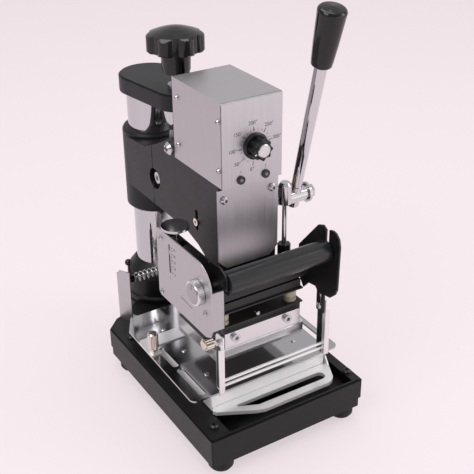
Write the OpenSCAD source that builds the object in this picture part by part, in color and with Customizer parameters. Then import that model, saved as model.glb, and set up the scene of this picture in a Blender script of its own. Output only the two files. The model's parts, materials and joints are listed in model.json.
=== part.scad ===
// Manual hot foil stamping press with a heated head, a foil feed and a pull-out worktable.
// Millimetres. +Z is up, the operator stands at -Y, the lever is on the +X side.
// The origin is on the standing surface, under the middle of the base.

/* [Base] */
// Width of the base casting
base_w = 190; // [184:1:200]
// Depth of the base casting
base_d = 331; // [331:1:345]
// Height of the base casting without its feet
base_h = 37; // [34:1:44]
// Height of a rubber foot below the casting
foot_h = 16; // [12:1:18]
// Diameter of a rubber foot
foot_d = 27; // [20:1:30]
// Depth of the sunk tray in the top of the base
tray_depth = 12; // [8:1:14]

/* [Column] */
// Diameter of the chromed column
column_d = 54; // [52:1:56]
// Distance from the front of the base to the column axis
column_y = 287; // [286:1:288]
// Height of the column top above the base
column_top = 277; // [275:1:279]
// Height of the column socket above the base
socket_h = 48; // [44:1:50]

/* [Head] */
// Outer diameter of the sleeve and width of the arm
sleeve_d = 68; // [67:1:70]
// Lower edge of the sleeve above the base
sleeve_low = 122; // [120:1:126]
// Upper edge of the sleeve above the base
sleeve_high = 221; // [219:1:223]
// Front face of the arm, from the front of the base
arm_front = 82; // [81:1:83]

/* [Control box] */
// Depth of the sheet metal control box
box_d = 94; // [90:1:96]
// Height of the control box
box_h = 87; // [84:1:92]
// Lower edge of the control box above the base
box_low = 230; // [230:1:231]
// Sheet thickness of the box and covers
sheet = 1.2; // [1:0.1:1.5]

/* [Lever] */
// Pinion shaft axis from the front of the base
pivot_y = 101; // [101:1:101]
// Pinion shaft axis above the base
pivot_z = 186; // [186:1:187]
// Middle plane of the lever
lever_x = 71; // [71:1:72]
// Length of the lever from its pivot
lever_len = 218.5; // [200:0.5:230]
// Forward lean of the lever at rest, in degrees
lever_lean = 14; // [5:0.2:20]

/* [Drive] */
// Gear module of the rack and pinion
gear_m = 1.5; // [1.5:0.5:1.5]
// Number of pinion teeth
gear_n = 18; // [18:1:18]
// Half width of the ram
ram_hw = 18; // [16:1:18]

/* [Heated tool] */
// Half width of the heater block
heater_hw = 50; // [46:1:51]
// Underside of the die above the base with the lever up
die_low = 42.3; // [42:0.1:43]

/* [Foil feed] */
// Outer face of each feed side plate from the middle plane
plate_x = 62; // [61:1:63]
// Foil roller axis from the front of the base
roller_y = 28; // [27:1:29]
// Foil roller axis above the base
roller_z = 157; // [156:1:158]
// Diameter of the foil roller
roller_d = 23.5; // [20:0.5:25]
// Outer face of the feed cover from the middle plane
cover_x = 76; // [74:1:78]

/* [Worktable] */
// Top of the polished worktable above the base
table_top = 19; // [19:1:19]
// Half width of the worktable block
block_hw = 71; // [68:1:72]

/* [Hidden] */

$fn = 48;
gap = 0.3;          // clearance between flat sliding faces
fit = 0.05;         // radial clearance of a running fit
bed_z = foot_h + base_h;
arm_hw = sleeve_d / 2;
screw_y = 221;      // axis of the elevating screw
screw_r = 6;
nut_seat = 213;
star_low = 324.5;
clamp_y = 218;
bush_r = 9;
cap_low = 264;
cap_high = 282.5;
box_front = 74;
box_back = box_front + box_d;
box_high = box_low + box_h;
box_hw = arm_hw;
gland_x = 18;
gland_z = 291;
dial_x = 3;
dial_z = 268;
pitch_r = gear_m * gear_n / 2;
rack_y = pivot_y - pitch_r;
shaft_r = 6;
ram_low = 112;
ram_high = 222;
ram_back = 136;
heater_low = 58;
heater_high = 84;
heater_front = 57.5;
heater_back = 150;
holder_low = 45;
die_h = holder_low - die_low;
spacer_high = 100.5;
strip_low = 27;
strip_x = 63.6;    // outer face of a guide strip's web
strip_y = 28;
leg_low = 80;
rail_y = 33;
rail_r = 1.7;
rod_heights = [34, 40];
front_corner = 1.5;
plate_t = 2;
cover_low = 96;
cover_high = 176;
cover_front = 27;
cover_back = 136;
knob_y = 51;
knob_z = 142;
push_x = 68;
push_y = 109;
push_z = 184;
post_x = 48;
post_y = 86;
rod_y = 240;
rod_z = 55;
guide_x = 76;       // centre line of the card guide slots
stop_y = 149;
nut_x = -85;
nut_y = 141;

// Moves children from the base's own corner frame: Y from its front edge, Z from its top face.
module on_bed() translate([0, -base_d / 2, bed_z]) children();

// Axis helpers: a cylinder along X or Y starting at the given point.
module x_rod(x0, x1, y, z, r, n = 48)
  translate([x0, y, z]) rotate([0, 90, 0]) cylinder(h = x1 - x0, r = r, $fn = n);
module y_rod(x, y0, y1, z, r, n = 48)
  translate([x, y0, z]) rotate([-90, 0, 0]) cylinder(h = y1 - y0, r = r, $fn = n);
module block(x0, x1, y0, y1, z0, z1)
  translate([x0, y0, z0]) cube([x1 - x0, y1 - y0, z1 - z0]);

// Prism whose outline is drawn in Y and Z, from x0 to x1.
module side_prism(x0, x1)
  translate([x0, 0, 0]) rotate([90, 0, 90]) linear_extrude(x1 - x0) children();

// Points of an arc about (x, y), from angle a0 to a1.
function arc(x, y, r, a0, a1, n = 8) =
  [for (i = [0:n]) let (a = a0 + (a1 - a0) * i / n) [x + r * cos(a), y + r * sin(a)]];

// Upright slot through a plate, rounded at both ends along Y.
module y_slot(x, y0, y1, hw, z0, z1) {
  block(x - hw, x + hw, y0 + hw, y1 - hw, z0, z1);
  for (y = [y0 + hw, y1 - hw]) translate([x, y, z0]) cylinder(h = z1 - z0, r = hw);
}

// Knurled outline: alternating radii round a circle.
function knurl(r, depth, n) =
  [for (i = [0:2 * n - 1]) let (a = 180 * i / n, q = i % 2 == 0 ? r : r - depth)
    [q * cos(a), q * sin(a)]];

// Round wire swept along a helix about +Z.
module coil(r, wire, pitch, turns, steps = 14, sides = 6) {
  n = floor(turns * steps);
  pts = [for (i = [0:n]) for (k = [0:sides - 1])
    let (a = 360 * i / steps, b = 360 * k / sides, q = r + wire * cos(b))
    [q * cos(a), q * sin(a), pitch * i / steps + wire * sin(b)]];
  faces = concat(
    [[for (k = [0:sides - 1]) k]],
    [for (i = [0:n - 1]) for (k = [0:sides - 1])
      [i * sides + k, (i + 1) * sides + k, (i + 1) * sides + (k + 1) % sides, i * sides + (k + 1) % sides]],
    [[for (k = [sides - 1:-1:0]) n * sides + k]]);
  polyhedron(points = pts, faces = faces, convexity = 4);
}

// Involute gear outline, thinned for backlash.
function inv(a) = tan(a) * 180 / PI - a;
function flank(r, rb) = inv(acos(min(1, rb / r)));
function gear_points(m, n, add, ded, backlash) =
  let (rp = m * n / 2, rb = rp * cos(20), ro = rp + add, ri = rp - ded,
    half = 90 / n - backlash / rp * 90 / PI + inv(20), k = 5)
  [for (t = [0:n - 1]) let (c = 360 * t / n) each concat(
    [[ri * cos(c - half), ri * sin(c - half)]],
    [for (i = [0:k]) let (r = max(rb, ri) + (ro - max(rb, ri)) * i / k, a = c - half + flank(r, rb))
      [r * cos(a), r * sin(a)]],
    [for (i = [k:-1:0]) let (r = max(rb, ri) + (ro - max(rb, ri)) * i / k, a = c + half - flank(r, rb))
      [r * cos(a), r * sin(a)]],
    [[ri * cos(c + half), ri * sin(c + half)]])];

// ---------- base ----------

// Base outline with a round tongue under the column.
module base_outline(inset) {
  w = base_w / 2 - inset;
  c = front_corner;
  polygon([[-w + c, inset], [w - c, inset], [w, c + inset], [w, 236], [w - 14, 250], [60, 257], [42, 273],
    [-42, 273], [-60, 257], [-w + 14, 250], [-w, 236], [-w, c + inset]]);
  translate([0, column_y]) circle(r = base_d - column_y - inset, $fn = 96);
}

module base_casting() color([0.13, 0.13, 0.14]) on_bed() difference() {
  union() {
    translate([0, 0, -base_h]) linear_extrude(base_h - 24) base_outline(1.6);
    translate([0, 0, -25]) linear_extrude(23) base_outline(0);
    translate([0, 0, -2.5]) linear_extrude(1.3) base_outline(0.7);
    translate([0, 0, -1.5]) linear_extrude(1.5) base_outline(1.6);
  }
  block(-71.6, 83, 3.6, 226, -tray_depth, 1);
  block(-84, 84, 9, 225, -base_h - 1, -tray_depth - 5);
}

module base_plate() color([0.25, 0.25, 0.26]) on_bed()
  block(-83.5, 83.5, 9.5, 224.5, -base_h, -base_h + 1.5);

module rubber_feet() color([0.07, 0.07, 0.07]) on_bed()
  for (p = [[-74, 19], [82, 19], [-76, 222], [80, 222]])
    translate([p.x, p.y, -base_h - foot_h]) {
      cylinder(h = 3, r1 = foot_d / 2 - 2, r2 = foot_d / 2);
      translate([0, 0, 3]) cylinder(h = foot_h - 3, r = foot_d / 2);
    }

module pan_head(r, h) {
  cylinder(h = h * 0.5, r = r, $fn = 32);
  translate([0, 0, h * 0.5]) cylinder(h = h * 0.5, r1 = r, r2 = r * 0.62, $fn = 32);
}

module base_screws() color([0.08, 0.08, 0.08]) on_bed()
  for (p = [[-81, 19], [88, 19], [-82, 205], [88.5, 205]]) translate([p.x, p.y, 0]) difference() {
    pan_head(4.6, 3.2);
    translate([0, 0, 1.6]) cylinder(h = 3, r = 2, $fn = 6);
  }

module column_socket() color([0.12, 0.12, 0.13]) on_bed() translate([0, column_y, 0]) difference() {
  rotate_extrude($fn = 72) polygon([[column_d / 2 + fit, 0], [43, 0], [43, 6], [41, 9], [40, 32],
    [37.5, 37], [29, socket_h], [column_d / 2 + fit, socket_h]]);
  x_rod(25, 50, 0, 20, 3);
}

module column() color([0.85, 0.86, 0.88]) on_bed() translate([0, column_y, 0]) difference() {
  cylinder(h = column_top, r = column_d / 2, $fn = 96);
  translate([0, 0, -1]) cylinder(h = column_top - 12, r = 21);
}

// Cap plate: a large round end on the column and a small one round the elevating screw.
cap_r = 34;
cap_r2 = 24;
cap_ny = (cap_r2 - cap_r) / (column_y - screw_y);
cap_nx = sqrt(1 - cap_ny * cap_ny);
module cap_outline(inset = 0) {
  a = cap_r - inset;
  b = cap_r2 - inset;
  translate([0, column_y]) circle(r = a, $fn = 96);
  translate([0, screw_y]) circle(r = b, $fn = 72);
  polygon([[-a * cap_nx, column_y + a * cap_ny], [-b * cap_nx, screw_y + b * cap_ny],
    [b * cap_nx, screw_y + b * cap_ny], [a * cap_nx, column_y + a * cap_ny]]);
}
module top_cap() color([0.16, 0.16, 0.17]) on_bed() difference() {
  union() {
    translate([0, 0, cap_low]) linear_extrude(cap_high - cap_low - 1.6) cap_outline();
    translate([0, 0, cap_high - 2]) linear_extrude(1.2) cap_outline(0.8);
    translate([0, 0, cap_high - 1]) linear_extrude(1) cap_outline(1.8);
  }
  translate([0, column_y, cap_low - 1]) cylinder(h = column_top - cap_low + 1, r = column_d / 2, $fn = 96);
  translate([0, screw_y, cap_low - 1]) cylinder(h = 30, r = screw_r + fit);
}

module slide_rails() color([0.55, 0.56, 0.58]) on_bed()
  for (x = [-45, 45]) block(x - 6, x + 6, 52, 222, -tray_depth, 3.8);

// Upright plate turned to face the corner, with the rod that carries the guide spring.
module spring_post() color([0.78, 0.78, 0.8]) on_bed() {
  linear_extrude(64) polygon([[-75, 249], [-66, 234], [-64.6, 234.8], [-73.6, 249.8]]);
  translate([0, 0, 64]) linear_extrude(3) polygon([[-73.5, 246.5], [-66, 234], [-64.6, 234.8], [-72.1, 247.3]]);
  linear_extrude(1.6) polygon([[-73.6, 249.8], [-64.6, 234.8], [-56, 240], [-65, 255]]);
  x_rod(-69, -14, rod_y, rod_z, 1.5, 24);
  x_rod(-67.5, -65, rod_y, rod_z, 3.4, 24);
  block(-20, -14, rod_y - 4, 263.2, 48, rod_z + 4);
}

module guide_spring() color([0.7, 0.7, 0.72]) on_bed()
  translate([-55.5, rod_y, rod_z]) rotate([0, 90, 0]) coil(5.2, 0.8, 5.6, 6);

module ball_lever() color([0.06, 0.06, 0.06]) on_bed() difference() {
  union() {
    x_rod(-63.6, -58, rod_y, rod_z, 4.2, 32);
    translate([-61, rod_y, rod_z]) rotate([-14, 0, 0]) {
      cylinder(h = 18, r = 1.6, $fn = 24);
      translate([0, 0, 20.5]) sphere(r = 4.1, $fn = 32);
    }
  }
  x_rod(-65, -57, rod_y, rod_z, 1.5 + fit, 24);
}

// ---------- head ----------

module ram_space()
  block(-ram_hw - gap, ram_hw + gap, arm_front - 1, ram_back + gap, 100, box_low + 1);

// Arm outline in Y and Z: stepped nose, raised back behind the control box, waist to the sleeve.
function arm_outline() = [[arm_front, 134], [100, 134], [124, 147], [150, 154], [column_y, 154],
  [column_y, 213], [238, 217], [214, 228], [175, 248], [box_back + 0.4, 248], [box_back + 0.4, box_low],
  [arm_front, box_low]];

module head_casting() color([0.17, 0.17, 0.18]) on_bed() difference() {
  union() {
    translate([0, column_y, 0]) rotate_extrude($fn = 96) polygon([[20, sleeve_low],
      [arm_hw - 3, sleeve_low], [arm_hw, sleeve_low + 3], [arm_hw, sleeve_high - 4],
      [arm_hw - 1.5, sleeve_high - 1.2], [arm_hw - 4, sleeve_high], [20, sleeve_high]]);
    side_prism(-arm_hw, arm_hw) polygon(arm_outline());
    x_rod(arm_hw - 1, 37, pivot_y, pivot_z, 13);
    block(arm_hw - 1, 43, 83, 90, 199, 209);
  }
  translate([0, column_y, 100]) cylinder(h = 140, r = column_d / 2 + fit, $fn = 96);
  ram_space();
  x_rod(-28, 50, pivot_y, pivot_z, bush_r);
  translate([0, screw_y, 140]) cylinder(h = 110, r = screw_r + 0.6);
  translate([0, screw_y, nut_seat]) cylinder(h = 60, r = 16);
  x_rod(-arm_hw - 1, -26, clamp_y, pivot_z, 12);
  x_rod(-27, -8, clamp_y, pivot_z, 4);
  block(-arm_hw - 1, -arm_hw + 4, 221.4, 222.6, 100, 260);
  ram_slot(-arm_hw - 1, -arm_hw + 5);
  translate([post_x, post_y, 180]) cylinder(h = 50, r = 6.8, $fn = 32);
}

// Upright slot in the left cheek of the arm that shows the end of the ram's guide pin.
module ram_slot(x0, x1) {
  block(x0, x1, 123.2, 128.8, 166, 184);
  for (z = [166, 184]) x_rod(x0, x1, 126, z, 2.8);
}

module elevating_nut() color([0.8, 0.8, 0.82]) on_bed() translate([0, screw_y, nut_seat]) difference() {
  union() {
    cylinder(h = 6, r = 15);
    translate([0, 0, 6]) cylinder(h = 13, r = 12, $fn = 6);
  }
  translate([0, 0, -1]) cylinder(h = 30, r = screw_r + fit);
}

module control_box() color([0.72, 0.72, 0.73]) on_bed() difference() {
  block(-box_hw, box_hw, box_front + 1, box_back, box_low, box_high);
  block(-box_hw + sheet, box_hw - sheet, box_front, box_back - sheet, box_low - 1, box_high - sheet);
  y_rod(gland_x, box_back - 3, box_back + 1, gland_z, 6.5);
}

module dial_panel() color([0.7, 0.71, 0.72]) on_bed() difference() {
  union() {
    block(-box_hw, box_hw, box_front - sheet, box_front, box_low, box_high - 2.2);
    side_prism(-box_hw, box_hw) translate([box_front + 1, box_high - 2.2]) intersection() {
      circle(r = 1 + sheet, $fn = 32);
      translate([-3, -0.5]) square([3, 3]);
    }
  }
  y_rod(dial_x, box_front - 3, box_front + 3, dial_z, 3.6);
  for (x = [-13.5, 15]) y_rod(x, box_front - 3, box_front + 3, 236, 3.05);
}

// Cross-slotted button screw standing on the plane X = s * x.
module side_screw(s, x, y, z, r = 2.9, h = 2.2)
  translate([s * x, y, z]) rotate([0, s * 90, 0]) difference() {
    pan_head(r, h);
    for (a = [0, 90]) rotate([0, 0, a]) translate([-r * 0.6, -r * 0.15, h * 0.5]) cube([r * 1.2, r * 0.3, h]);
  }

module panel_screws() color([0.82, 0.82, 0.84]) on_bed() {
  for (s = [-1, 1]) for (y = [79.5, 158.5]) for (z = [248, 298]) side_screw(s, box_hw, y, z);
  for (p = [[126.5, 167], [129.5, 101.5], [39.5, 123.5]]) side_screw(-1, cover_x, p.x, p.y, 3, 1.8);
  for (s = [-1, 1]) {
    side_screw(-s, -plate_x + plate_t, 36, 87, 3.6, 2.4);
    x_rod(s > 0 ? plate_x - plate_t : -strip_x - 1.6, s > 0 ? strip_x + 1.6 : -plate_x + plate_t, 36, 87, 1.6, 24);
    x_rod(s > 0 ? strip_x : -strip_x - 3.4, s > 0 ? strip_x + 3.4 : -strip_x, 36, 87, 3.4, 6);
    translate([s * 28, arm_front - 1.6, 215]) rotate([90, 0, 0]) difference() {
      pan_head(4.4, 3.4);
      translate([0, 0, 1.4]) cylinder(h = 3, r = 2.3, $fn = 6);
    }
  }
  side_screw(-1, arm_hw, 177, 237, 7, 5.5);
}

module front_cover() color([0.72, 0.72, 0.74]) on_bed()
  translate([0, arm_front, 0]) rotate([90, 0, 0]) linear_extrude(1.6)
    polygon([[-26, 137.5], [26, 137.5], [35.5, 147], [35.5, 226], [-35.5, 226], [-35.5, 147]]);

module indicator_lamps() color([0.2, 0.2, 0.2]) on_bed()
  for (x = [-13.5, 15]) {
    y_rod(x, box_front - sheet - 1.6, box_front - sheet, 236, 4.4, 32);
    y_rod(x, box_front - sheet, box_front + 12, 236, 3, 32);
  }

module thermostat() color([0.2, 0.35, 0.25]) on_bed() difference() {
  union() {
    block(dial_x - 16, dial_x + 16, box_front + 1, box_front + 22, dial_z - 16, dial_z + 16);
    block(-30, 30, box_front + 22, box_front + 24, 240, 312);
    for (x = [-22, 22]) block(x - 5, x + 5, box_front + 24, box_front + 36, 286, 300);
  }
  y_rod(dial_x, box_front, box_front + 15, dial_z, 3 + fit, 32);
}

module cable_gland() color([0.1, 0.1, 0.1]) on_bed() difference() {
  union() {
    y_rod(gland_x, box_back, box_back + 4, gland_z, 8.5, 32);
    y_rod(gland_x, box_back - 6, box_back, gland_z, 6.5, 32);
    y_rod(gland_x, box_back + 4, box_back + 13, gland_z, 6.4, 32);
  }
  y_rod(gland_x, box_back - 7, box_back + 14, gland_z, 3.6, 32);
}

module shaft_bushes() color([0.7, 0.5, 0.25]) on_bed() difference() {
  union() {
    x_rod(-28, -ram_hw - gap, pivot_y, pivot_z, bush_r);
    x_rod(ram_hw + gap, 37, pivot_y, pivot_z, bush_r);
    x_rod(37, 39.5, pivot_y, pivot_z, 12);
  }
  x_rod(-40, 60, pivot_y, pivot_z, shaft_r + fit);
}

module clamp_screw() color([0.75, 0.75, 0.77]) on_bed() difference() {
  union() {
    x_rod(-31, -26, clamp_y, pivot_z, 6.6, 32);
    x_rod(-26, -8, clamp_y, pivot_z, 4);
  }
  x_rod(-32, -28, clamp_y, pivot_z, 3.4, 6);
}

// Bright strip in the slot, and the socket end of the ram's guide pin in front of it.
module gib_screw() color([0.75, 0.68, 0.5]) on_bed() difference() {
  union() {
    intersection() {
      ram_slot(-arm_hw + 3.6, -arm_hw + 5);
      block(-arm_hw, 0, 100, 150, 160, 190);
    }
    x_rod(-arm_hw - 1.8, -arm_hw + 3.7, 126, 173, 2.75, 32);
    x_rod(-arm_hw - 1.8, -arm_hw - 0.2, 126, 173, 4.2, 32);
  }
  x_rod(-arm_hw - 3, -arm_hw + 0.6, 126, 173, 1.9, 6);
}

// ---------- foil feed ----------

// Side plate outlines in Y and Z. The right one has an open slot that the roller axle drops into.
slot_r = 2.5 + fit;
function plate_right_outline() = concat([[12, 112], [9, 119], [8, 169], [10, 177], [15, 181.5], [20, 182.5]],
  [[roller_y - slot_r, 181], [roller_y - slot_r, roller_z], [roller_y + slot_r, roller_z],
   [roller_y + slot_r, 179], [36, 182], [44, 179], [76, 142], [76, 108], [66, 94], [57, 104], [45, 106],
   [42, 103], [42, leg_low], [30, leg_low], [30, 103], [20, 104.5]]);
function plate_left_outline() = [[22.5, 151.4], [22.5, 163], [25, 168], [34, 172], [52, 170], [76, 150],
  [76, 108], [66, 96], [42, 96], [42, leg_low], [30, leg_low], [30, 151.4]];

// Slot in a plate's leg through which the guide strip is bolted.
module leg_slot(x0, x1) {
  block(x0, x1, 34.3, 37.7, 85, 100);
  for (z = [85, 100]) x_rod(x0, x1, 36, z, 1.7, 24);
}

module feed_plate_right() color([0.08, 0.08, 0.09]) on_bed() difference() {
  side_prism(plate_x - plate_t, plate_x) polygon(plate_right_outline());
  x_rod(plate_x - 4, plate_x + 2, roller_y, roller_z, slot_r, 32);
  leg_slot(plate_x - 4, plate_x + 2);
}

module feed_plate_left() color([0.08, 0.08, 0.09]) on_bed() difference() {
  union() {
    side_prism(-plate_x, -plate_x + plate_t) polygon(plate_left_outline());
    block(-plate_x, -plate_x + plate_t, 58, 133, 99, 170);
    for (p = [[126.5, 167], [129.5, 101.5], [39.5, 123.5]])
      x_rod(-cover_x + sheet, -plate_x, p.x, p.y, 3, 24);
    block(-74, -plate_x, push_y - 6, push_y + 6, 164, 170);
    block(-74, -plate_x, push_y - 6, push_y + 6, 107, 113);
  }
  x_rod(-plate_x - 2, -plate_x + 4, roller_y, roller_z, slot_r, 32);
  leg_slot(-plate_x - 2, -plate_x + 4);
  translate([-push_x, push_y, 90]) cylinder(h = 90, r = 2.5 + fit, $fn = 32);
}

module feed_cover() color([0.74, 0.74, 0.75]) on_bed() difference() {
  union() {
    side_prism(-cover_x, -cover_x + sheet) polygon(concat(
      arc(cover_front + 26, cover_high - 26, 26, 180, 90, 10),
      arc(cover_back - 5, cover_high - 5, 5, 90, 0, 4),
      arc(cover_back - 5, cover_low + 5, 5, 0, -90, 4),
      [[cover_front + 12, cover_low], [cover_front + 3, cover_low + 4], [cover_front, cover_low + 12]]));
    block(-cover_x, -plate_x - 0.2, cover_front, cover_front + sheet, 108, cover_high - 25);
  }
  block(-cover_x - 1, -cover_x + 2, push_y - 1.3, push_y + 1.3, 134, 167);
  x_rod(-cover_x - 1, -cover_x + 2, knob_y, knob_z, 4.1, 32);
}

// Angle-section guide strips that hang from the side plates down to the table.
module foil_strips() color([0.85, 0.85, 0.87]) on_bed()
  for (s = [-1, 1]) mirror([s < 0 ? 1 : 0, 0, 0]) difference() {
    union() {
      side_prism(plate_x, strip_x) polygon([[strip_y, strip_low], [40, strip_low], [42, strip_low + 2],
        [42, 92], [39, 96], [strip_y, 96]]);
      block(strip_x - 0.1, strip_x + 4.4, strip_y, strip_y + 1.6, strip_low, 82);
    }
    for (z = rod_heights) x_rod(plate_x - 1, strip_x + 3, rail_y, z, rail_r + fit, 24);
    x_rod(plate_x - 1, strip_x + 3, 36, 87, 1.7, 24);
  }

module foil_rods() color([0.85, 0.85, 0.87]) on_bed()
  for (z = rod_heights) x_rod(-strip_x, strip_x, rail_y, z, rail_r, 32);

module feed_bracket() color([0.1, 0.1, 0.11]) on_bed() {
  block(-plate_x + plate_t, plate_x - plate_t, 58, 78, 114, 136);
  for (s = [-1, 1]) block(s > 0 ? 19.5 : -arm_hw, s > 0 ? arm_hw : -19.5, 78, 99, 122, 134);
}

module stop_post() color([0.85, 0.85, 0.87]) on_bed() translate([post_x, post_y, 0]) {
  translate([0, 0, 140]) cylinder(h = 50, r = 2.7, $fn = 32);
  translate([0, 0, 189]) cylinder(h = 21, r = 6.8, $fn = 32);
  translate([0, 0, 210]) cylinder(h = 3, r1 = 6.8, r2 = 4.6, $fn = 32);
}

module stop_knob() color([0.07, 0.07, 0.07]) on_bed() translate([post_x, post_y, 0]) difference() {
  translate([0, 0, 129]) linear_extrude(13) polygon(knurl(7, 1, 10));
  translate([0, 0, 138]) cylinder(h = 6, r = 2.7, $fn = 32);
}

module spring_hanger() color([0.6, 0.6, 0.62]) on_bed() {
  for (s = [-1, 1]) block(s > 0 ? 21 : -23, s > 0 ? 23 : -21, 120, 132, box_low, 298);
  block(-23, 23, 120, 132, 296, 298);
  x_rod(-3, 3, 126, 293, 1.6, 24);
  block(-3, 3, 125, 127, 293, 297);
}

module return_spring() color([0.6, 0.6, 0.62]) on_bed()
  translate([0, 126, 226]) coil(5.5, 0.8, 4.6, 14, 12, 6);

// ---------- ram and heated tool ----------

rack_low = 172;
module ram() color([0.62, 0.63, 0.65]) on_bed() {
  difference() {
    block(-ram_hw, ram_hw, arm_front + gap, ram_back, ram_low, ram_high);
    block(-ram_hw - 1, ram_hw + 1, rack_y - 1.7, pivot_y + pitch_r + 2.2, rack_low - 4, ram_high + 1);
  }
  side_prism(-12, 12) for (i = [-7:10]) translate([rack_y, pivot_z + (i + 0.5) * PI * gear_m])
    if (pivot_z + (i - 0.1) * PI * gear_m > rack_low && pivot_z + (i + 1) * PI * gear_m < ram_high)
      polygon([[-1.8, -1.65], [1.1, -0.62], [1.1, 0.62], [-1.8, 1.65]]);
  x_rod(-3, 3, 126, 224.4, 1.4, 24);
  block(-3, 3, 125, 127, 221, 224.4);
}

module mount_plate() color([0.1, 0.1, 0.11]) on_bed()
  block(-heater_hw, heater_hw, heater_front, heater_back, spacer_high + 1.5, ram_low);

module insulation_sheets() color([0.75, 0.72, 0.66]) on_bed() {
  block(-52, 52, 55.5, 152, spacer_high, spacer_high + 1.5);
  difference() {
    block(-52, 52, 55.5, 152, heater_high, heater_high + 1.5);
    for (x = [-42, 42]) for (y = [65.5, 142]) translate([x, y, 80]) cylinder(h = 20, r = 7.3);
  }
}

module spacers() color([0.9, 0.88, 0.8]) on_bed()
  for (x = [-42, 42]) for (y = [65.5, 142]) translate([x, y, heater_high]) {
    cylinder(h = spacer_high - heater_high, r = 6, $fn = 32);
    cylinder(h = 5.6, r = 7, $fn = 32);
    translate([0, 0, 8]) cylinder(h = spacer_high - heater_high - 8, r = 7, $fn = 32);
  }

module heater_block() color([0.6, 0.6, 0.6]) on_bed() difference() {
  union() {
    block(-heater_hw, heater_hw, heater_front, heater_back, heater_low + 2, heater_high);
    translate([0, 138, 0]) rotate([90, 0, 0]) linear_extrude(138 - 60)
      polygon([[-26, heater_low + 3], [-33, heater_low - 3], [33, heater_low - 3], [26, heater_low + 3]]);
  }
  for (x = [-24, 24]) y_rod(x, 70, heater_back + 1, 72, 5);
  x_rod(-heater_hw - 1, -40, 63, 68, 3 + fit, 32);
}

module heater_cartridges() color([0.5, 0.5, 0.52]) on_bed()
  for (x = [-24, 24]) y_rod(x, 71, heater_back + 6, 72, 4.95);

module type_clamp() color([0.85, 0.8, 0.68]) on_bed() {
  translate([-56, 63, 68]) rotate([0, -90, 0]) linear_extrude(9) polygon(knurl(6.6, 0.6, 16));
  x_rod(-66.5, -65, 63, 68, 5.2, 32);
  x_rod(-56, -44, 63, 68, 3, 32);
}

// Tool holder: a carrier that hangs on the heater's dovetail, with a bright front plate.
module type_holder() color([0.86, 0.86, 0.88]) on_bed() {
  difference() {
    block(-54, 54, heater_front, 138, holder_low, heater_low + 1.4);
    translate([0, 141, 0]) rotate([90, 0, 0]) linear_extrude(100)
      polygon([[-26.6, heater_low + 3], [-33.8, heater_low - 3.4], [33.8, heater_low - 3.4], [26.6, heater_low + 3]]);
  }
  side_prism(-46.5, 46.5) polygon([[53, 58], [53, 79], [57.2, 79], [57.2, 58]]);
  side_prism(-50.5, 50.5) polygon([[52.4, 51], [51.6, 60], [52.4, 60.8], [57.2, 60.8], [57.2, 54],
    [heater_front + 1, 54], [heater_front + 1, holder_low], [55.5, holder_low]]);
}

module die_plate() color([0.75, 0.6, 0.35]) on_bed()
  block(-40, 40, 62, 130, die_low, holder_low);

module holder_screws() color([0.8, 0.8, 0.82]) on_bed()
  for (x = [-34, 30]) translate([x, 53, 72]) rotate([90, 0, 0]) difference() {
    cylinder(h = 3, r = 4.8, $fn = 32);
    translate([0, 0, 1]) cylinder(h = 3, r = 2.6, $fn = 6);
  }

// ---------- lever ----------

module pinion_shaft() color([0.65, 0.65, 0.67]) on_bed() {
  x_rod(-27.5, 84, pivot_y, pivot_z, shaft_r);
  translate([-11, pivot_y, pivot_z]) rotate([90, 0, 90]) linear_extrude(22)
    rotate([0, 0, 180]) polygon(gear_points(gear_m, gear_n, 1.15, 1.7, 0.28));
}

module along_lever() translate([lever_x, pivot_y, pivot_z]) rotate([lever_lean, 0, 0]) children();

module lever_hub() color([0.86, 0.87, 0.89]) on_bed() difference() {
  union() {
    x_rod(56, 84, pivot_y, pivot_z, 8.4);
    along_lever() translate([0, 0, -12]) cylinder(h = 25, r = 6.6, $fn = 48);
  }
  x_rod(50, 90, pivot_y, pivot_z, shaft_r);
  along_lever() translate([0, 0, 8.5]) cylinder(h = 20, r = 5);
}

module lever_rod() color([0.86, 0.87, 0.89]) on_bed() along_lever() {
  translate([0, 0, 8.5]) cylinder(h = 5, r = 5);
  translate([0, 0, 13]) cylinder(h = lever_len - 75, r1 = 5.8, r2 = 6.6);
  translate([0, 0, lever_len - 62.5]) cylinder(h = 31, r = 5);
}

module lever_grip() color([0.07, 0.07, 0.08]) on_bed() along_lever() difference() {
  translate([0, 0, lever_len - 62]) rotate_extrude($fn = 64) polygon(concat(
    [[0, 0], [9.4, 0], [10.4, 1.2], [11, 6], [12.4, 24], [14, 52]],
    arc(10.4, 56, 3.9, 0, 70, 6), [[8, 60.2], [0, 61.2]]));
  translate([0, 0, lever_len - 63]) cylinder(h = 31.5, r = 5);
}

module hub_bolt() color([0.8, 0.8, 0.82]) on_bed() {
  x_rod(84, 87, pivot_y, pivot_z, 11);
  x_rod(87, 93, pivot_y, pivot_z, 7.4, 6);
}

// ---------- knobs ----------

// Seven shallow lobes under a low dome.
module star_knob() color([0.06, 0.06, 0.07]) on_bed() translate([0, screw_y, 0]) difference() {
  union() {
    translate([0, 0, 301]) cylinder(h = 3, r = 14.6);
    translate([0, 0, 304]) cylinder(h = 21.5, r1 = 15.4, r2 = 16.2);
    intersection() {
      translate([0, 0, star_low]) linear_extrude(34) {
        circle(r = 26.5, $fn = 72);
        for (i = [0:6]) rotate([0, 0, i * 360 / 7 + 12]) translate([21, 0]) circle(r = 10, $fn = 48);
      }
      translate([0, 0, star_low]) rotate_extrude($fn = 72) polygon([[0, 0], [29.4, 0], [31.2, 1.6], [31.2, 15],
        [30.2, 17], [27.5, 18.6], [20, 21.4], [12, 23.8], [5, 25.2], [0, 25.6]]);
    }
  }
  translate([0, 0, 290]) cylinder(h = 40, r = screw_r);
}

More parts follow.
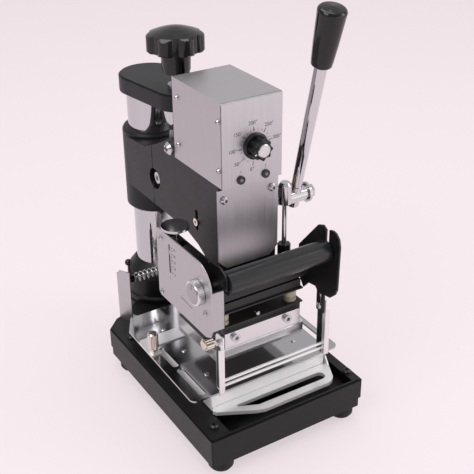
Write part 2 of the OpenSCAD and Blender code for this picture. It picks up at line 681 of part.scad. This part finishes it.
module lead_screw() color([0.78, 0.78, 0.8]) on_bed() translate([0, screw_y, 0]) {
  translate([0, 0, 168]) cylinder(h = 162, r = screw_r);
  translate([0, 0, cap_high + gap]) cylinder(h = 5, r = 10);
  translate([0, 0, cap_low - gap - 5]) cylinder(h = 5, r = 10);
}

// Outline of a smoothly fluted knob.
function flutes(r, depth, n) =
  [for (i = [0:n * 12 - 1]) let (a = 30 * i / n, q = r - depth / 2 + depth / 2 * cos(a * n))
    [q * cos(a), q * sin(a)]];

module dial_knob() color([0.06, 0.06, 0.07]) on_bed() {
  translate([dial_x, box_front - sheet - 0.4, dial_z]) rotate([90, 0, 0]) {
    cylinder(h = 1.6, r = 13.4);
    translate([0, 0, 1.6]) cylinder(h = 1.2, r1 = 13.4, r2 = 12);
    translate([0, 0, 2.8]) linear_extrude(11.2) polygon(flutes(10.9, 2.2, 8));
    translate([0, 0, 14]) cylinder(h = 1.4, r1 = 9, r2 = 7.6);
  }
  y_rod(dial_x, box_front - sheet - 1, box_front + 14, dial_z, 3, 32);
}

module foil_roller() color([0.09, 0.09, 0.1]) on_bed() {
  x_rod(-59, 59, roller_y, roller_z, roller_d / 2, 64);
  x_rod(-64, 63.6, roller_y, roller_z, 2.5, 32);
}

module feed_knob() color([0.85, 0.85, 0.85]) on_bed() {
  translate([-cover_x - 0.4, knob_y, knob_z]) rotate([0, -90, 0]) {
    linear_extrude(6.4) polygon(knurl(13.2, 0.5, 40));
    translate([0, 0, 6.4]) cylinder(h = 0.8, r1 = 12.6, r2 = 11.8);
  }
  x_rod(-cover_x - 1, -plate_x - 1, knob_y, knob_z, 4, 32);
}

module push_disc() color([0.86, 0.87, 0.88]) on_bed() translate([-push_x, push_y, 0]) {
  translate([0, 0, push_z]) cylinder(h = 2.4, r = 14.4, $fn = 64);
  translate([0, 0, push_z - 6]) cylinder(h = 6, r = 4, $fn = 32);
  translate([0, 0, 104]) cylinder(h = push_z - 102, r = 2.5, $fn = 32);
  translate([-7.6, -0.9, 155]) cube([6, 1.8, 5]);
}

// ---------- worktable ----------

module table_block() color([0.83, 0.84, 0.85]) on_bed() difference() {
  block(-block_hw, block_hw, 40, 200, 0.8, table_top - plate_t);
  for (x = [-45, 45]) block(x - 6 - gap, x + 6 + gap, 50, 201, 0, 4.1);
  block(-block_hw - 1, block_hw + 1, 39, 40.7, 5, 5.8);
  block(-34, 34, 60, 190, -1, 9);
}

module table_plate() color([0.8, 0.8, 0.82]) on_bed() difference() {
  translate([0, 0, table_top - plate_t]) linear_extrude(plate_t) polygon(concat(
    arc(-92 + 7, 42 + 7, 7, 180, 270, 6), arc(93 - 7, 42 + 7, 7, 270, 360, 6),
    [[93, 192], [80, 216], [-76.5, 216], [-90, 192]]));
  y_slot(-guide_x, 48, 100, 4, 10, 30);
  y_slot(-guide_x, 104.5, 144, 4, 10, 30);
  y_slot(83, 52, 112, 3.5, 10, 30);
}

module plate_screws() color([0.75, 0.75, 0.77]) on_bed()
  for (x = [-56, 56]) for (y = [76, 125, 174]) translate([x, y, table_top]) pan_head(2.6, 1);

module pull_handle() color([0.84, 0.84, 0.85]) on_bed() difference() {
  union() {
    side_prism(73, 74.6) polygon([[34, 1.2], [34, 5], [40, 14], [60, 14], [60, 1.2]]);
    translate([0, 0, 1.2]) linear_extrude(4.2)
      polygon(concat([[-70, 40], [-73, 35], [-71, 31], [-33, 11.4]], arc(-23, 22, 13, 240, 270, 4),
        arc(54, 23, 14, -90, -20, 7), [[73, 31], [74.6, 40]]));
  }
  translate([0, 0, -1]) linear_extrude(10)
    polygon(concat(arc(-46, 28.4, 1.6, 90, 240, 4), [[-27, 18.4]], arc(54, 23.4, 6, -90, 90, 8)));
}

// Thin stop sheet across the table, with an arm under the thumb nut.
module card_stop() color([0.7, 0.7, 0.72]) on_bed() difference() {
  translate([0, 0, table_top]) linear_extrude(1.4) polygon([[-91, 134], [-79, 134], [-79, stop_y],
    [-41.5, stop_y], [-41.5, 168], [-88, 168], [-91, 165]]);
  translate([nut_x, nut_y, 0]) cylinder(h = 40, r = 2.6, $fn = 32);
}

module thumb_nut() color([0.85, 0.82, 0.76]) on_bed() translate([nut_x, nut_y, table_top]) difference() {
  union() {
    translate([0, 0, 1.4]) cylinder(h = 5.4, r = 5, $fn = 6);
    translate([0, 0, 6.8]) linear_extrude(18) polygon(knurl(5.9, 0.45, 24));
    translate([0, 0, 24.8]) cylinder(h = 1.4, r1 = 5.4, r2 = 4.2, $fn = 32);
  }
  translate([0, 0, -1]) cylinder(h = 20, r = 2.5, $fn = 32);
}

base_casting();
base_plate();
rubber_feet();
base_screws();
column_socket();
column();
top_cap();
slide_rails();
spring_post();
guide_spring();
ball_lever();
head_casting();
elevating_nut();
control_box();
dial_panel();
panel_screws();
front_cover();
indicator_lamps();
thermostat();
cable_gland();
shaft_bushes();
clamp_screw();
gib_screw();
feed_plate_left();
feed_plate_right();
feed_cover();
foil_strips();
foil_rods();
feed_bracket();
stop_post();
stop_knob();
spring_hanger();
return_spring();
ram();
mount_plate();
insulation_sheets();
spacers();
heater_block();
heater_cartridges();
type_clamp();
type_holder();
die_plate();
holder_screws();
pinion_shaft();
lever_hub();
lever_rod();
lever_grip();
hub_bolt();
star_knob();
lead_screw();
dial_knob();
foil_roller();
feed_knob();
push_disc();
table_block();
table_plate();
plate_screws();
pull_handle();
card_stop();
thumb_nut();
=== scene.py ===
"""Looks for the hot foil stamping press: materials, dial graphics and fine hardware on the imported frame."""

import json
import math

import bpy
from mathutils import Matrix, Vector


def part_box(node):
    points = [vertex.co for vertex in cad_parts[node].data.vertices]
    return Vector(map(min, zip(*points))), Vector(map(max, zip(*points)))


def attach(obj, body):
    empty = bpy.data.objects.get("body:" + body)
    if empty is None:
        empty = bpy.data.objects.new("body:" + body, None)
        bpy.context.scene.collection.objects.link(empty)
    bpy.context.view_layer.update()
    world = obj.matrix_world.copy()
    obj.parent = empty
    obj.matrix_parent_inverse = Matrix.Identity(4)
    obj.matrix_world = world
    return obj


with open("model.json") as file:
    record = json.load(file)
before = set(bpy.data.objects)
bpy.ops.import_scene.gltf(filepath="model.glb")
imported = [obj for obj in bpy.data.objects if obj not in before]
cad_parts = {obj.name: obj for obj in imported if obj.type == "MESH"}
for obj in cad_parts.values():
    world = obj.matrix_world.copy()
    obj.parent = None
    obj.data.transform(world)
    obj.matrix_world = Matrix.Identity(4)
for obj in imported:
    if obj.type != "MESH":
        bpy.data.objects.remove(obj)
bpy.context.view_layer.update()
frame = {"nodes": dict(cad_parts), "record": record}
NODES = frame["nodes"]
MM = 0.001

# Places are in the CAD source's bed frame: Y from the base's front edge, Z from its top face.
BASE_LOW, BASE_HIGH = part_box("base_casting")
BED_Y = BASE_LOW.y
BED_Z = BASE_HIGH.z


def bed(x, y, z):
    """A point given in millimetres in the bed frame, in metres in the row frame."""
    return Vector((x * MM, BED_Y + y * MM, BED_Z + z * MM))


# ---------- camera ----------

AZIMUTH, ELEVATION, ROLL = math.radians(-31.81), math.radians(28.68), math.radians(-0.53)
CAMERA_AT = bed(-437.9, -603.4, 610.2)
FOCAL_RATIO = 913.02 / 474  # focal length over the picture's width
SENSOR = 36


def make_camera():
    level = math.cos(ELEVATION)
    back = Vector((math.sin(AZIMUTH) * level, -math.cos(AZIMUTH) * level, math.sin(ELEVATION)))
    side = (-back).cross(Vector((0, 0, 1))).normalized()
    top = side.cross(-back)
    right = math.cos(ROLL) * side + math.sin(ROLL) * top
    up = math.cos(ROLL) * top - math.sin(ROLL) * side
    data = bpy.data.cameras.new("camera")
    data.sensor_width = SENSOR
    data.lens = SENSOR * FOCAL_RATIO
    data.clip_start = 0.05
    camera = bpy.data.objects.new("camera", data)
    camera.matrix_world = Matrix.Translation(CAMERA_AT) @ Matrix((right, up, back)).transposed().to_4x4()
    bpy.context.scene.collection.objects.link(camera)
    bpy.context.scene.camera = camera


# ---------- materials ----------

MATERIALS = {}  # by the names used here, which are also the CAD nodes' material slots


def new_material(name):
    material = bpy.data.materials.new(name)
    material.use_nodes = True
    MATERIALS[name] = material
    return material.node_tree, material.node_tree.nodes["Principled BSDF"]


def mapped_noise(tree, scale, grain=(1, 1, 1), detail=3.0):
    """Noise in the object's own coordinates; a small factor in grain draws it out along that axis."""
    coords = tree.nodes.new("ShaderNodeTexCoord")
    mapping = tree.nodes.new("ShaderNodeMapping")
    mapping.inputs["Scale"].default_value = grain
    noise = tree.nodes.new("ShaderNodeTexNoise")
    noise.inputs["Scale"].default_value = scale
    noise.inputs["Detail"].default_value = detail
    tree.links.new(coords.outputs["Object"], mapping.inputs["Vector"])
    tree.links.new(mapping.outputs["Vector"], noise.inputs["Vector"])
    return noise.outputs[0]


def spread_between(tree, value, low, high):
    """The middle half of a noise, spread over the range from low to high."""
    node = tree.nodes.new("ShaderNodeMapRange")
    node.inputs["From Min"].default_value = 0.25
    node.inputs["From Max"].default_value = 0.75
    node.inputs["To Min"].default_value = low
    node.inputs["To Max"].default_value = high
    tree.links.new(value, node.inputs["Value"])
    return node.outputs["Result"]


def colour_ramp(tree, value, dark, light):
    node = tree.nodes.new("ShaderNodeValToRGB")
    for stop, position, colour in zip(node.color_ramp.elements, (0.3, 0.7), (dark, light)):
        stop.position = position
        stop.color = (*colour, 1)
    tree.links.new(value, node.inputs["Fac"])
    return node.outputs["Color"]


def bump(tree, shader, height, strength, distance):
    node = tree.nodes.new("ShaderNodeBump")
    node.inputs["Strength"].default_value = strength
    node.inputs["Distance"].default_value = distance
    tree.links.new(height, node.inputs["Height"])
    tree.links.new(node.outputs["Normal"], shader.inputs["Normal"])


def metal(name, colour, rough, spread=0.04, grain=(1, 1, 1), scale=60, bare=1.0):
    """Metal whose roughness wanders by spread either way; bare below 1 is a milky, dulled surface."""
    tree, shader = new_material(name)
    shader.inputs["Metallic"].default_value = bare
    shader.inputs["Base Color"].default_value = (*colour, 1)
    noise = mapped_noise(tree, scale, grain)
    tree.links.new(spread_between(tree, noise, rough - spread, rough + spread), shader.inputs["Roughness"])


def brushed(name, colour, rough, grain):
    """Brushed sheet: fine parallel lines in colour, roughness and relief."""
    tree, shader = new_material(name)
    shader.inputs["Metallic"].default_value = 1.0
    lines = mapped_noise(tree, 900, grain, 4.0)
    dark = [c * 0.9 for c in colour]
    tree.links.new(colour_ramp(tree, lines, dark, colour), shader.inputs["Base Color"])
    tree.links.new(spread_between(tree, lines, rough - 0.06, rough + 0.06), shader.inputs["Roughness"])
    bump(tree, shader, lines, 0.12, 0.0001)


def painted_casting(name, dark, light, rough, relief):
    """Paint over a sand casting: small lumps, with a little variation in shade."""
    tree, shader = new_material(name)
    lumps = mapped_noise(tree, 900, detail=5.0)
    patches = mapped_noise(tree, 45, detail=2.0)
    tree.links.new(colour_ramp(tree, patches, dark, light), shader.inputs["Base Color"])
    tree.links.new(spread_between(tree, lumps, rough - 0.08, rough + 0.08), shader.inputs["Roughness"])
    bump(tree, shader, lumps, relief, 0.0006)
    shader.inputs["Specular IOR Level"].default_value = 0.33


def plain(name, colour, rough):
    _, shader = new_material(name)
    shader.inputs["Base Color"].default_value = (*colour, 1)
    shader.inputs["Roughness"].default_value = rough


def make_materials():
    painted_casting("black_casting", (0.0018, 0.0017, 0.0023), (0.0042, 0.004, 0.0054), 0.42, 0.45)
    painted_casting("grey_casting", (0.007, 0.0068, 0.0088), (0.013, 0.0125, 0.016), 0.45, 0.25)
    plain("dark_steel", (0.006, 0.006, 0.007), 0.4)
    plain("black_sheet", (0.003, 0.003, 0.0035), 0.42)
    plain("foot_rubber", (0.012, 0.012, 0.012), 0.75)
    plain("black_screw", (0.008, 0.008, 0.009), 0.3)
    metal("column_chrome", (0.56, 0.55, 0.58), 0.07, 0.02)
    metal("lever_chrome", (0.62, 0.61, 0.63), 0.06, 0.02)
    metal("bright_rod", (0.62, 0.61, 0.62), 0.12, 0.03)
    metal("bright_strip", (0.86, 0.85, 0.86), 0.24, 0.02, scale=20, bare=0.55)
    metal("plain_steel", (0.4, 0.4, 0.41), 0.3, 0.06, grain=(6, 6, 1))
    metal("zinc_plate", (0.52, 0.51, 0.52), 0.34, 0.06)
    metal("screw_steel", (0.6, 0.59, 0.6), 0.2)
    metal("spring_wire", (0.42, 0.42, 0.42), 0.28)
    brushed("brushed_sheet", (0.52, 0.505, 0.525), 0.4, (1, 1, 0.02))
    plain("lamp_plastic", (0.008, 0.008, 0.009), 0.25)
    plain("inner_plastic", (0.12, 0.2, 0.14), 0.5)
    plain("black_plastic", (0.006, 0.006, 0.007), 0.28)
    plain("black_gloss", (0.0015, 0.0014, 0.0018), 0.13)
    metal("bush_bronze", (0.45, 0.33, 0.2), 0.35)
    metal("brass_trim", (0.74, 0.68, 0.6), 0.22)
    plain("die_dark", (0.17, 0.155, 0.15), 0.5)
    plain("mica_board", (0.02, 0.018, 0.017), 0.5)
    plain("ceramic", (0.5, 0.44, 0.34), 0.35)
    plain("heater_alloy", (0.012, 0.011, 0.011), 0.4)
    metal("polished_alloy", (0.74, 0.73, 0.745), 0.2, 0.05)
    metal("table_alloy", (0.94, 0.93, 0.94), 0.3, 0.02, scale=20, bare=0.15)
    metal("mirror_plate", (0.5, 0.5, 0.51), 0.13, 0.02)
    plain("roller_black", (0.011, 0.0105, 0.0125), 0.27)
    plain("white_print", (0.8, 0.8, 0.8), 0.5)
    plain("black_print", (0.01, 0.01, 0.012), 0.5)
    metal("knob_silver", (0.62, 0.61, 0.62), 0.24, 0.03)
    metal("knob_grey", (0.4, 0.385, 0.395), 0.3, 0.03)
    plain("lamp_lens", (0.2, 0.19, 0.19), 0.2)


# Edge rounding in millimetres for parts whose plain edges would read as too sharp.
EDGES = {
    "base_casting": 1.0, "head_casting": 1.2, "column_socket": 0.8, "control_box": 0.5, "dial_panel": 0.35,
    "front_cover": 0.4, "feed_plate_left": 0.35, "feed_plate_right": 0.35, "feed_cover": 0.35,
    "foil_strips": 0.25, "feed_bracket": 0.6, "mount_plate": 0.5, "heater_block": 0.8, "type_holder": 0.5,
    "type_clamp": 0.4, "table_block": 0.7, "table_plate": 0.4, "pull_handle": 0.6, "card_stop": 0.25,
    "lever_hub": 0.6, "hub_bolt": 0.6, "push_disc": 0.4, "stop_post": 0.5, "feed_knob": 0.3,
    "insulation_sheets": 0.3, "spring_post": 0.3, "elevating_nut": 0.6, "spacers": 0.4, "ram": 0.4,
    "foil_roller": 0.5, "thumb_nut": 0.3, "dial_knob": 0.4, "star_knob": 1.2, "lever_grip": 0.6,
}


def soften(node, width):
    bevel = node.modifiers.new("edges", "BEVEL")
    bevel.width = width * MM
    bevel.segments = 2
    bevel.limit_method = "ANGLE"
    bevel.angle_limit = math.radians(38)
    bevel.use_clamp_overlap = True


def dress_frame():
    slots = {s["node"]: s["material_slot"] for s in frame["record"]["subparts"]}
    for name, node in NODES.items():
        node.data.materials.clear()
        node.data.materials.append(MATERIALS[slots[name]])
        if name in EDGES:
            soften(node, EDGES[name])


# ---------- pieces that stand on a face ----------

# The faces seen from the front, from the operator's left and from above, each as its own right and up.
FRONT = (Vector((1, 0, 0)), Vector((0, 0, 1)))
LEFT = (Vector((0, -1, 0)), Vector((0, 0, 1)))
TOP = (Vector((1, 0, 0)), Vector((0, 1, 0)))

PRINT_LIFT = 0.12  # how far a printed mark stands above its face, in millimetres
PRINT_SINK = 0.05
THIN_LIFT = 0.06


def placed(obj, at, face, turn=0.0):
    """Stand an object on a face: its X and Y along the face, its Z outward."""
    right, up = face
    turned = math.cos(turn) * right + math.sin(turn) * up
    over = math.cos(turn) * up - math.sin(turn) * right
    axes = Matrix((turned, over, right.cross(up))).transposed()
    obj.matrix_world = Matrix.Translation(bed(*at)) @ axes.to_4x4()


def ride_piece(name, data, material, rides, at, face, turn=0.0):
    piece = bpy.data.objects.new(name, data)
    data.materials.append(MATERIALS[material])
    bpy.context.scene.collection.objects.link(piece)
    placed(piece, at, face, turn)
    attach(piece, rides)


def bar(name, rides, material, at, face, size, turn=0.0, lift=PRINT_LIFT):
    """A thin printed bar, size being its length along X and Y of the face in millimetres."""
    w, h = size[0] / 2 * MM, size[1] / 2 * MM
    corners = ((-w, -h), (w, -h), (w, h), (-w, h))
    points = [(x, y, z) for z in (-PRINT_SINK * MM, lift * MM) for x, y in corners]
    sides = [(k, (k + 1) % 4, (k + 1) % 4 + 4, k + 4) for k in range(4)]
    mesh = bpy.data.meshes.new(name)
    mesh.from_pydata(points, [], [(0, 3, 2, 1), (4, 5, 6, 7), *sides])
    ride_piece(name, mesh, material, rides, at, face, turn)


def disc(name, rides, material, at, face, profile, sides=48):
    """A turned piece on a face; profile is (radius, height) pairs in millimetres, from the edge inward."""
    points = [(r * MM * math.cos(math.tau * k / sides), r * MM * math.sin(math.tau * k / sides), h * MM)
              for r, h in profile for k in range(sides)]
    last = (len(profile) - 1) * sides
    faces = [(low + k, low + (k + 1) % sides, low + sides + (k + 1) % sides, low + sides + k)
             for low in range(0, last, sides) for k in range(sides)]
    faces.append(tuple(range(last, last + sides)))
    faces.append(tuple(range(sides - 1, -1, -1)))
    mesh = bpy.data.meshes.new(name)
    mesh.from_pydata(points, [], faces)
    ride_piece(name, mesh, material, rides, at, face)


def label(name, rides, text, at, face, size):
    """Raised lettering, centred on a point of a face."""
    curve = bpy.data.curves.new(name, "FONT")
    curve.body = text
    curve.size = size * MM
    curve.align_x = "CENTER"
    curve.align_y = "CENTER"
    curve.extrude = 0.06 * MM
    ride_piece(name, curve, "black_print", rides, at, face)


# ---------- temperature dial and lamps ----------

DIAL_X, DIAL_Z = 3.0, 268.0
PANEL_Y = 72.8
SCALE_MARKS = (("50", 218), ("100", 182), ("150", 140), ("200", 96), ("250", 52), ("300", 10), ("0", 262))
MARK_RADIUS = 17.6
NUMBER_RADII = (25.4, 24.0)  # across and up: the numbers stand on a slightly flattened ring
STEP_RADIUS, STEP_COUNT, STEP_START, STEP_ANGLE = 16.4, 18, -8, 14.5
POINTER_ANGLE = math.radians(196)
LAMP_Y, LAMP_Z = 71.2, 236
LAMPS_X = (-13.5, 15.0)


def round_dial(angle, y, radius, up_radius=None):
    """A point at a radius from the dial's axis."""
    return (DIAL_X + radius * math.cos(angle), y, DIAL_Z + (up_radius or radius) * math.sin(angle))


def dial_graphics():
    for text, degrees in SCALE_MARKS:
        angle = math.radians(degrees)
        bar("tick_" + text, "head", "black_print", round_dial(angle, PANEL_Y, MARK_RADIUS), FRONT,
            (4.6, 0.5), angle)
        label("mark_" + text, "head", text + "°", round_dial(angle, PANEL_Y, *NUMBER_RADII), FRONT, 5.4)
    for k in range(STEP_COUNT):
        angle = math.radians(STEP_START + STEP_ANGLE * k)
        bar("step_%02d" % k, "head", "black_print", round_dial(angle, PANEL_Y, STEP_RADIUS), FRONT,
            (2.6, 0.25), angle)
    disc("dial_cap", "dial", "knob_silver", (DIAL_X, 57.4, DIAL_Z), FRONT,
         ((6.8, -0.3), (6.8, 0.5), (6.0, 1.1), (0.5, 1.2)))
    bar("dial_pointer", "dial", "white_print", round_dial(POINTER_ANGLE, 56.2, 4.2), FRONT,
        (6.4, 1.2), POINTER_ANGLE, 0.25)
    bar("dial_line", "dial", "white_print", round_dial(POINTER_ANGLE, 57.9, 9.0), FRONT,
        (2.6, 1.2), POINTER_ANGLE, 0.3)
    for k, x in enumerate(LAMPS_X):
        disc("lamp_lens_%d" % k, "head", "lamp_lens", (x, LAMP_Y, LAMP_Z), FRONT,
             ((1.9, -0.2), (1.7, 0.5), (0.9, 0.9)), 24)
        label("lamp_mark_%d" % k, "head", str(k + 1), (x, PANEL_Y, LAMP_Z + 8.2), FRONT, 3.8)


# ---------- foil feed's scale and knob ----------

COVER_X = -76.0
SLOT_Y = 109.0
FEED_MARKS, FEED_MARKS_LOW, FEED_MARKS_STEP = 9, 136, 3.6
KNOB_Y, KNOB_Z = 51, 142


def cover_graphics():
    for k in range(FEED_MARKS):
        z = FEED_MARKS_LOW + FEED_MARKS_STEP * k
        numbered = k % 2 == 0
        length, inset = (4.0, 4.6) if numbered else (2.6, 3.9)
        bar("feed_tick_%d" % k, "head", "black_print", (COVER_X, SLOT_Y - inset, z), LEFT, (length, 0.5))
        if numbered:
            label("feed_mark_%d" % k, "head", str(k * 5), (COVER_X, SLOT_Y - 10.6, z), LEFT, 3.6)
    label("feed_plus", "head", "+", (COVER_X, SLOT_Y + 1, 127.5), LEFT, 5.0)
    bar("feed_line", "head", "black_print", (COVER_X, 77, 115.6), LEFT, (23, 0.5), math.radians(-4))
    disc("knob_face", "feed_knob", "knob_grey", (-83.55, KNOB_Y, KNOB_Z), LEFT,
         ((10.8, -0.2), (10.8, 0.35), (10.2, 0.6)), 56)
    bar("knob_mark", "feed_knob", "black_print", (-84.1, KNOB_Y, KNOB_Z + 7), LEFT, (0.9, 4.4))


# ---------- seams, webs and the board's screw ----------

HEAD_SIDE_X, BOX_TOP = -34, 317
SEAM_WIDTH = 0.5


def small_fittings():
    disc("board_screw", "ram", "screw_steel", (-3, 59.4, 85.5), TOP, ((3.1, -0.3), (3.1, 2.8), (2.2, 4.0)), 32)
    bar("box_seam_top", "head", "black_print", (0, 74.6, BOX_TOP), TOP, (67.4, SEAM_WIDTH), lift=THIN_LIFT)
    bar("box_seam_left", "head", "black_print", (HEAD_SIDE_X, 74.5, 273), LEFT, (SEAM_WIDTH, 85),
        lift=THIN_LIFT)
    for name, x, low, high in (("web_left", -63.6, 29, 82), ("web_right", 62, 29, 79)):
        bar(name, "head", "black_sheet", (x, 37.2, (low + high) / 2), LEFT, (8.4, high - low))
    bar("sleeve_split", "head", "black_print", (HEAD_SIDE_X, 222, 170), LEFT, (0.4, 24), lift=THIN_LIFT / 2)


# ---------- stage ----------

FLOOR_HALF = 20.0


def floor_material():
    """Pale matt studio floor with a faint glow of its own, so that it stays even."""
    _, shader = new_material("floor_pale")
    shader.inputs["Base Color"].default_value = (0.3, 0.265, 0.278, 1)
    shader.inputs["Emission Color"].default_value = (0.905, 0.812, 0.843, 1)
    shader.inputs["Emission Strength"].default_value = 0.68
    shader.inputs["Roughness"].default_value = 0.95
    shader.inputs["Specular IOR Level"].default_value = 0.0


def make_stage():
    floor = bpy.data.meshes.new("floor")
    corners = ((-1, -1), (1, -1), (1, 1), (-1, 1))
    floor.from_pydata([(FLOOR_HALF * x, FLOOR_HALF * y, 0) for x, y in corners], [], [(0, 1, 2, 3)])
    body = bpy.data.objects.new("floor", floor)
    floor_material()
    floor.materials.append(MATERIALS["floor_pale"])
    bpy.context.scene.collection.objects.link(body)


def make_sky():
    """An even studio sky, dim low on the operator's left and bright above."""
    world = bpy.data.worlds.new("studio")
    bpy.context.scene.world = world
    world.use_nodes = True
    tree = world.node_tree
    coords = tree.nodes.new("ShaderNodeTexCoord")
    lean = tree.nodes.new("ShaderNodeVectorMath")
    lean.operation = "DOT_PRODUCT"
    lean.inputs[1].default_value = (0.3, 0.35, 0.9)
    tree.links.new(coords.outputs["Generated"], lean.inputs[0])
    band = tree.nodes.new("ShaderNodeMapRange")
    band.interpolation_type = "SMOOTHSTEP"
    band.inputs["From Min"].default_value = -0.55
    band.inputs["From Max"].default_value = 0.75
    band.inputs["To Min"].default_value = 0.1
    band.inputs["To Max"].default_value = 0.66
    tree.links.new(lean.outputs["Value"], band.inputs["Value"])
    sky = tree.nodes["Background"]
    sky.inputs["Color"].default_value = (1.0, 0.97, 0.975, 1)
    tree.links.new(band.outputs["Result"], sky.inputs["Strength"])


# Soft boxes: name, place and aim in metres, width and height in metres, power in watts.
SOFT_BOXES = (
    ("key", (-1.5, -0.4, 1.5), (0, 0, 0.15), (1.1, 1.1), 14),
    ("fill", (1.6, -1.1, 1.1), (0, 0, 0.15), (0.9, 1.5), 9),
    ("top", (0.1, 0.3, 2.0), (0, 0, 0.15), (1.4, 1.1), 13),
    ("front", (0.42, -0.85, 0.32), (0, -0.1, 0.1), (0.9, 0.6), 1.2),
)


def soft_box(name, place, aim, size, power):
    data = bpy.data.lights.new(name, "AREA")
    data.shape = "RECTANGLE"
    data.size, data.size_y = size
    data.energy = power
    light = bpy.data.objects.new(name, data)
    light.location = place
    light.rotation_mode = "QUATERNION"
    light.rotation_quaternion = (Vector(aim) - Vector(place)).to_track_quat("-Z", "Y")
    bpy.context.scene.collection.objects.link(light)


make_camera()
make_materials()
dress_frame()
dial_graphics()
cover_graphics()
small_fittings()
make_stage()
make_sky()
for settings in SOFT_BOXES:
    soft_box(*settings)
bpy.context.scene.view_settings.view_transform = "Standard"
